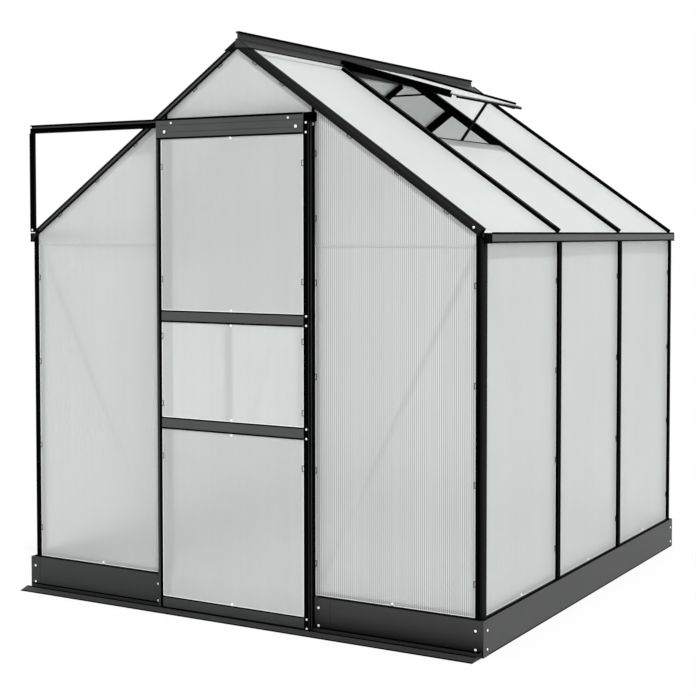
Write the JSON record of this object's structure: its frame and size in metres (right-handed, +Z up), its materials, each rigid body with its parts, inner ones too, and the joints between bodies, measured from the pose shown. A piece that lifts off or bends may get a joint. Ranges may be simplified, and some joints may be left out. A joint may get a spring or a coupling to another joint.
{
  "type": "walk-in greenhouse",
  "caption": "Small apex-roof walk-in greenhouse: dark aluminium bars, translucent twin-wall sheets, steel base, sliding front door on an overhead track and a propped roof vent.",
  "frame": {"origin": "middle of the footprint of the whole object, threshold included, on the ground", "axes": "+X to the right as seen from the door, the door faces -Y, +Z up"},
  "size_m": [1.9136, 1.9895, 2.051],
  "materials": {
    "dark_frame": "dark grey powder coat, satin",
    "rail_grey": "dark grey powder coat, satin",
    "base_steel": "dark grey coated steel, satin",
    "twin_wall_sheet": "translucent twin-wall polycarbonate, fluted",
    "clear_strip": "clear joint strip",
    "spring_wire": "bright spring wire",
    "bolt_zinc": "zinc plated",
    "peg_plastic": "white plastic",
    "runner_plastic": "black nylon",
    "black_plastic": "black plastic"
  },
  "bodies": {
    "frame": {"base_bolts": "bolt_zinc", "base_end_brackets": "base_steel", "base_front_left_plate": "base_steel", "base_front_right_plate": "base_steel", "base_left_plate": "base_steel", "base_rear_plate": "base_steel", "base_right_plate": "base_steel", "door_lintel": "dark_frame", "door_sill_track": "dark_frame", "floor_bars": "dark_frame", "frame_bolts": "bolt_zinc", "front_gable_panels": "twin_wall_sheet", "front_left_post": "dark_frame", "front_rafters": "dark_frame", "front_right_post": "dark_frame", "front_wall_panels": "twin_wall_sheet", "gutter_end_caps": "black_plastic", "left_door_jamb": "dark_frame", "left_gutter": "dark_frame", "left_roof_bars": "dark_frame", "left_roof_panels": "twin_wall_sheet", "left_wall_panels": "twin_wall_sheet", "left_wall_studs": "dark_frame", "panel_joint_strips": "clear_strip", "panel_pegs": "peg_plastic", "rear_gable_panels": "twin_wall_sheet", "rear_left_post": "dark_frame", "rear_rafters": "dark_frame", "rear_right_post": "dark_frame", "rear_wall_panels": "twin_wall_sheet", "rear_wall_studs": "dark_frame", "ridge_beam": "dark_frame", "ridge_ties": "dark_frame", "right_door_jamb": "dark_frame", "right_gutter": "dark_frame", "right_roof_bars": "dark_frame", "right_roof_panels": "twin_wall_sheet", "right_wall_panels": "twin_wall_sheet", "right_wall_studs": "dark_frame", "track_hanger_post": "dark_frame", "upper_door_track": "dark_frame", "vent_sill_bar": "dark_frame", "wall_braces": "dark_frame", "wall_clips": "spring_wire"},
    "door": {"door_left_stile": "dark_frame", "door_right_stile": "dark_frame", "door_top_rail": "rail_grey", "door_cross_rails": "rail_grey", "door_panels": "twin_wall_sheet", "door_bolts": "bolt_zinc", "door_clips": "spring_wire", "door_pegs": "peg_plastic", "roller_axles": "bolt_zinc", "door_guides": "runner_plastic"},
    "left_roller": {"left_roller": "runner_plastic"},
    "right_roller": {"right_roller": "runner_plastic"},
    "vent": {"vent_hinge_bar": "dark_frame", "vent_frame_bars": "dark_frame", "vent_panel": "twin_wall_sheet"},
    "vent_stay": {"vent_stay": "dark_frame"}
  },
  "joints": [
    {"name": "door_slide", "type": "slide", "parent": "frame", "child": "door", "axis": [-1, 0, 0], "range_m": [0, 0.58]},
    {"name": "left_roller_spin", "type": "hinge", "parent": "door", "child": "left_roller", "pos_m": [-0.2535, -0.93235, 1.7405], "axis": [0, -1, 0], "range_deg": [0, 3200]},
    {"name": "right_roller_spin", "type": "hinge", "parent": "door", "child": "right_roller", "pos_m": [0.2375, -0.93235, 1.7405], "axis": [0, -1, 0], "range_deg": [0, 3200]},
    {"name": "vent_hinge", "type": "hinge", "parent": "frame", "child": "vent", "pos_m": [0.02212, 0.03825, 2.00433], "axis": [0, -1, 0], "range_deg": [-18.5, 0]},
    {"name": "vent_stay_pivot", "type": "hinge", "parent": "vent", "child": "vent_stay", "pos_m": [0.50806, 0.04125, 1.85621], "axis": [0, -1, 0], "range_deg": [-75, 0]}
  ],
  "couplings": [
    {"joint": "left_roller_spin", "follows": "door_slide", "rad_per_m": 96.15},
    {"joint": "right_roller_spin", "follows": "door_slide", "rad_per_m": 96.15},
    {"joint": "vent_stay_pivot", "follows": "vent_hinge", "ratio": 4}
  ]
}
